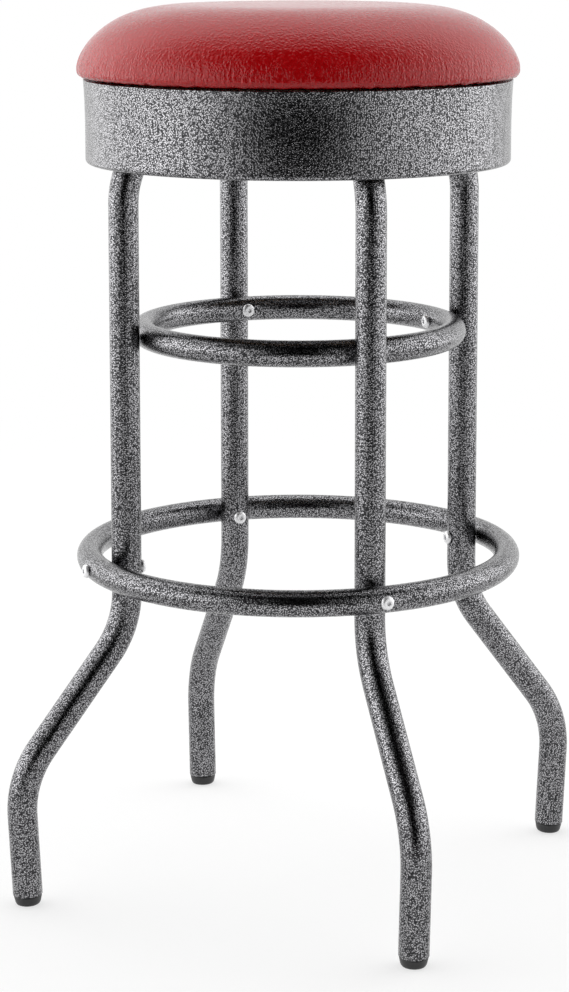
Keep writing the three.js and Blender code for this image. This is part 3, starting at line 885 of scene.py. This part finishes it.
def puckered(points):
    """Soft upright puckers where the cover is pulled down, a wavy hem and a faintly uneven crown."""
    x, y, z = points.T
    angle, radius = np.arctan2(y, x), np.hypot(x, y)
    side = np.clip((radius - SIDE_FROM) / SIDE_OVER, 0, 1)
    top_of_folds = FOLDS_TOP + FOLDS_RISE * waves(angle, *FOLD_TOP_WAVES)
    held = np.clip((top_of_folds - z) / FOLDS_OVER, 0, 1)
    held = held * held * (3 - 2 * held) * side
    sway = np.sin(FOLD_LEAN_TURNS * angle + FOLD_LEAN_START)
    lean = angle + FOLD_LEAN * sway * (z - HEM_Z) / FOLD_LEAN_HEIGHT
    depth = COARSE_FOLD * waves(lean, *COARSE_FOLD_WAVES) + FINE_FOLD * waves(lean, *FINE_FOLD_WAVES)
    depth *= FOLD_MEAN_SHARE + FOLD_SPREAD_SHARE * waves(angle, *FOLD_DEPTH_WAVES)
    swell = SWELL * waves(angle, *SWELL_WAVES) * side
    scale = 1 + (depth * held + swell) / np.maximum(radius, CENTRE_R)
    hem = np.exp(-((z - HEM_Z) / HEM_BAND) ** 2) * side
    droop = COARSE_DROOP * waves(angle, *COARSE_DROOP_WAVES)
    droop = (droop + FINE_DROOP * waves(angle, *FINE_DROOP_WAVES)) * hem
    on_top = (radius / CUSHION_RADIUS) ** 2 * (1 - side) * (z > SHOULDER_Z)
    lift = CROWN_LIFT * waves(angle, *CROWN_WAVES) * on_top
    return np.stack([x * scale, y * scale, z + droop + lift], 1)


def swollen(rings):
    """The outline's skin, blown up by cloth simulation from a smaller start, its lower edge held."""
    small = []
    for radius, height in rings:
        share = max(0, (height - WIDEST_Z) / (CUSHION_TOP - WIDEST_Z))
        small.append((max(radius - SKIN_INSET, 0), height - SKIN_INSET * share))
    start = lathe("cushion_start", small, SKIN_STEPS, VINYL)
    remesh = start.modifiers.new("voxels", "REMESH")
    remesh.mode, remesh.voxel_size = "VOXEL", SKIN_VOXEL
    graph = bpy.context.evaluated_depsgraph_get()
    mesh = bpy.data.meshes.new_from_object(start.evaluated_get(graph))
    bpy.data.objects.remove(start)
    blown = bpy.data.objects.new("cushion_skin", mesh)
    bpy.context.scene.collection.objects.link(blown)
    rest = np.array([v.co for v in mesh.vertices])
    held = blown.vertex_groups.new(name="held")
    held.add([i for i, point in enumerate(rest) if point[2] < HEM_Z + SKIN_HELD], 1.0, "REPLACE")
    cloth = blown.modifiers.new("cloth", "CLOTH")
    settings = cloth.settings
    settings.vertex_group_mass = "held"
    settings.use_pressure = True
    settings.uniform_pressure_force = SKIN_PRESSURE
    settings.effector_weights.gravity = 0
    settings.quality = SKIN_QUALITY
    for step in range(1, SKIN_FRAMES + 1):
        bpy.context.scene.frame_set(step)
    graph = bpy.context.evaluated_depsgraph_get()
    result = blown.evaluated_get(graph).to_mesh()
    moved = np.array([v.co for v in result.vertices])
    faces = [tuple(p.vertices) for p in result.polygons]
    bpy.data.objects.remove(blown)
    bpy.context.scene.frame_set(1)
    shift = moved - rest
    size = np.linalg.norm(shift, axis=1, keepdims=True)
    shift *= np.minimum(1, SKIN_LIMIT / np.maximum(size, TINY))
    return BVHTree.FromPolygons([tuple(v) for v in rest + shift], faces)


def drawn_out(points, rings, first, skin_tree):
    """Gives the smooth form the simulated skin's soft unevenness round the seat, from its first ring up."""
    flat = np.array(rings)
    slope = np.gradient(flat, axis=0)
    normals = np.stack([slope[:, 1], -slope[:, 0]], 1)
    normals /= np.maximum(np.linalg.norm(normals, axis=1, keepdims=True), TINY)
    places = TURN * np.arange(SKIN_SAMPLES) / SKIN_SAMPLES
    rows = np.zeros((len(rings), SKIN_SAMPLES))
    for row, (radius, height), (out, up) in list(zip(rows, rings, normals))[first:-1]:
        for i, angle in enumerate(places):
            normal = Vector((out * math.cos(angle), out * math.sin(angle), up))
            point = Vector((radius * math.cos(angle), radius * math.sin(angle), height))
            hit = skin_tree.ray_cast(point + normal * SKIN_REACH, -normal, 2 * SKIN_REACH)[0]
            row[i] = (hit - point).dot(normal) if hit is not None else 0
    spectrum = np.fft.rfft(rows, axis=1)
    spectrum[:, 0] = 0
    spectrum[:, SKIN_WAVES:] = 0
    rows = np.fft.irfft(spectrum, SKIN_SAMPLES, axis=1)
    blur = np.hanning(SKIN_BLUR) / np.hanning(SKIN_BLUR).sum()
    rows[first:-1] = np.apply_along_axis(np.convolve, 0, rows[first:-1], blur, "same")
    rows *= np.clip(flat[:, :1] / SKIN_FADE, 0, 1)
    rows *= np.clip((flat[:, 1:] - HEM_Z - SKIN_HEM_SPACE) / SKIN_HEM_FADE, 0, 1)
    rows = np.clip(rows * SKIN_SHARE, -SKIN_SWELL_LIMIT, SKIN_SWELL_LIMIT)
    around = TURN * np.arange(CUSHION_STEPS) / CUSHION_STEPS
    index = 0
    for row, (radius, height), (out, up) in zip(rows, rings, normals):
        count = 1 if radius < POLE_R else CUSHION_STEPS
        if count > 1:
            move = np.interp(around, places, row, period=TURN)
            points[index:index + count] += move[:, None] * np.stack(
                [out * np.cos(around), out * np.sin(around), np.full(count, up)], 1)
        index += count
    return points


def cushion():
    """The padded seat: a closed form with its cover turned in under the board."""
    edge, under, bed = BOARD_RADIUS + FIT, BOARD_Z - FIT, BOARD_TOP + FIT
    under_side = [
        (0, bed),
        (edge, bed),
        (edge, under),
        (LIP_RADIUS, under),
        (LIP_RADIUS, LIP_Z),
        (LIP_RADIUS + LIP_WIDTH, LIP_Z),
        (BOARD_RADIUS + COVER_TURN_OUT, LIP_Z + COVER_TURN_RISE),
        (BOARD_RADIUS + HEM_TURN_OUT, HEM_Z - HEM_TURN_DROP),
    ]
    curve = tuck(TUCK_STEPS) + crown(CROWN_STEPS)
    side = [p for p in curve if p[1] < SHOULDER_Z]
    top = [side[-1]] + [p for p in curve if p[1] >= SHOULDER_Z]
    rings = under_side + even(side, SIDE_SPACING) + softened(even(top, TOP_SPACING))[1:]
    rings[-1] = (0.0, CUSHION_TOP)
    verts, faces = turned(rings, CUSHION_STEPS)
    points = np.array(verts)
    points = drawn_out(points, rings, len(under_side), swollen(rings))
    piece = make("seat_cushion", puckered(points), faces, VINYL, crease=60)
    dressed(piece, "seat", "red_vinyl", "seat_cover", "seat_foam")
    return piece


# Swivel
def race():
    """Ball cage with its balls."""
    low, high = BALL_Z - CAGE_THICKNESS / 2, BALL_Z + CAGE_THICKNESS / 2
    inner, outer = BALL_CIRCLE - BALL_R - CAGE_MARGIN, BALL_CIRCLE + BALL_R + CAGE_MARGIN
    corners = [(inner, low), (outer, low), (outer, high), (inner, high)]
    piece = lathe("ball_race", corners, CAGE_STEPS, STEEL, closed=True)
    work = bmesh.new()
    work.from_mesh(piece.data)
    for i in range(BALLS):
        angle = TURN * i / BALLS
        spot = Matrix.Translation((BALL_CIRCLE * math.cos(angle), BALL_CIRCLE * math.sin(angle), BALL_Z))
        bmesh.ops.create_icosphere(work, subdivisions=BALL_FINENESS, radius=BALL_R, matrix=spot)
    for face in work.faces:
        face.smooth = True
    work.to_mesh(piece.data)
    work.free()
    return dressed(piece, "cage", "plain_steel", "ball_cage")


def boss():
    """Centre rivet with domed heads."""
    outline = [
        (0, RIVET_LOW - RIVET_HEAD),
        (RIVET_R, RIVET_LOW - RIVET_HEAD),
        (RIVET_HEAD_R, RIVET_LOW - RIVET_EDGE),
        (RIVET_HEAD_R, RIVET_LOW),
        (RIVET_R, RIVET_LOW),
    ]
    mirror = RIVET_LOW + RIVET_HIGH
    outline += [(radius, mirror - height) for radius, height in reversed(outline)]
    piece = lathe("swivel_boss", filleted(outline, RIVET_FILLET), RIVET_STEPS, STEEL)
    return dressed(piece, "base", "plain_steel", "swivel_rivet")


def carried(node, material, bevel=0.0):
    """A CAD node that stays, with its own finish and softened edges."""
    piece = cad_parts[node]
    piece.data.materials.clear()
    piece.data.materials.append(material)
    if bevel:
        modifier = piece.modifiers.new("soft_edges", "BEVEL")
        modifier.width, modifier.segments = bevel, 2
        modifier.limit_method = "ANGLE"
    return piece


for corner, angle in CORNERS.items():
    leg_corner(corner, angle)
    seat_corner(corner, angle)
    carried(f"leg_bolt_inner_{corner}", ZINC, SOFT_EDGE)
    carried(f"leg_bolt_outer_{corner}", ZINC, SOFT_EDGE)
    carried(f"upper_ring_insert_{corner}", STEEL)
ring("upper_ring_tube", UPPER_RING_RADIUS, UPPER_RING_Z, "upper_ring")
ring("foot_ring_tube", FOOT_RING_RADIUS, FOOT_RING_Z, "foot_ring")
apron()
cushion()
race()
boss()
carried("seat_board", WOOD)
carried("swivel_top_plate", STEEL, SOFT_EDGE)
carried("swivel_bottom_plate", STEEL, SOFT_EDGE)


# Camera
def camera():
    """The photograph's place, looking down a little, with its lens shifted less."""
    data = bpy.data.cameras.new("camera")
    data.sensor_fit = "AUTO"
    data.sensor_width = SENSOR
    data.lens = FOCAL_PIXELS / LONG_SIDE * SENSOR
    data.shift_x, data.shift_y = CAMERA_SHIFT
    data.clip_end = CAMERA_REACH
    piece = bpy.data.objects.new("camera", data)
    ahead, across = math.cos(CAMERA_AZIMUTH), math.sin(CAMERA_AZIMUTH)
    piece.location = (CAMERA_DISTANCE * across, -CAMERA_DISTANCE * ahead, CAMERA_HEIGHT)
    piece.rotation_euler = (math.pi / 2 - CAMERA_PITCH, 0, CAMERA_AZIMUTH)
    bpy.context.scene.collection.objects.link(piece)
    bpy.context.scene.camera = piece


# Studio
def tent():
    """The light: panels and lid as levels of the world, white to the camera."""
    world = bpy.data.worlds.new("tent")
    bpy.context.scene.world = world
    world.use_nodes = True
    tree = world.node_tree
    background = tree.nodes["Background"]
    way = add(tree, "ShaderNodeTexCoord").outputs["Generated"]
    right = (math.cos(CAMERA_AZIMUTH), math.sin(CAMERA_AZIMUTH), 0)
    front = (math.sin(CAMERA_AZIMUTH), -math.cos(CAMERA_AZIMUTH), 0)
    across = vectors(tree, "DOT_PRODUCT", way, right)
    ahead = vectors(tree, "DOT_PRODUCT", way, front)
    up = add(tree, "ShaderNodeSeparateXYZ", {0: way}).outputs["Z"]
    around = maths(tree, "MULTIPLY_ADD", maths(tree, "ARCTAN2", across, ahead), 1 / TURN, 0.5)
    stops = ((0.5 + degrees / 360, level / PANEL_LEVEL) for degrees, level in PANELS)
    low = maths(tree, "MULTIPLY", ramp(tree, around, *stops), PANEL_LEVEL)
    along = maths(tree, "MULTIPLY_ADD", ahead, 0.5, 0.5)
    stops = ((0.5 + share / 2, level / LID_LEVEL) for share, level in LID)
    above = maths(tree, "MULTIPLY", ramp(tree, along, *stops), LID_LEVEL)
    level = mixed(tree, eased(tree, up, LID_STARTS, LID_WHOLE), low, above)
    seen = add(tree, "ShaderNodeLightPath").outputs["Is Camera Ray"]
    tree.links.new(mixed(tree, seen, level, (1, 1, 1, 1)), background.inputs["Color"])
    background.inputs["Strength"].default_value = 1.0


def floor():
    """A pale floor that keeps the stool's shadow and fades into the white backdrop."""
    material, tree, shader, place = new_material("studio_floor")
    feed(tree, shader, {"Base Color": FLOOR_GREY, "Roughness": FLOOR_ROUGHNESS})
    shader.inputs["Specular IOR Level"].default_value = 0.0
    path = add(tree, "ShaderNodeLightPath").outputs
    mirrored = maths(tree, "MAXIMUM", path["Is Glossy Ray"], path["Is Transmission Ray"])
    seen = maths(tree, "MAXIMUM", path["Is Camera Ray"], mirrored)
    fade = eased(tree, vectors(tree, "LENGTH", place), FADE_STARTS, FADE_ENDS)
    strength = maths(tree, "MULTIPLY", seen, FLOOR_LIFT)
    lift = add(tree, "ShaderNodeEmission", {"Strength": strength}).outputs[0]
    lifted = add(tree, "ShaderNodeAddShader", {0: shader.outputs[0], 1: lift}).outputs[0]
    plain = add(tree, "ShaderNodeEmission", {"Strength": 1.0}).outputs[0]
    share = maths(tree, "MULTIPLY", fade, seen)
    whole = add(tree, "ShaderNodeMixShader", {0: share, 1: lifted, 2: plain}).outputs[0]
    tree.links.new(whole, tree.nodes["Material Output"].inputs["Surface"])
    piece = lathe("studio_floor", [(0, -FLOOR_DROP), (FLOOR_RADIUS, -FLOOR_DROP)], FLOOR_STEPS, material)
    piece.data.flip_normals()


camera()
tent()
floor()
bpy.context.scene.view_settings.view_transform = "Standard"
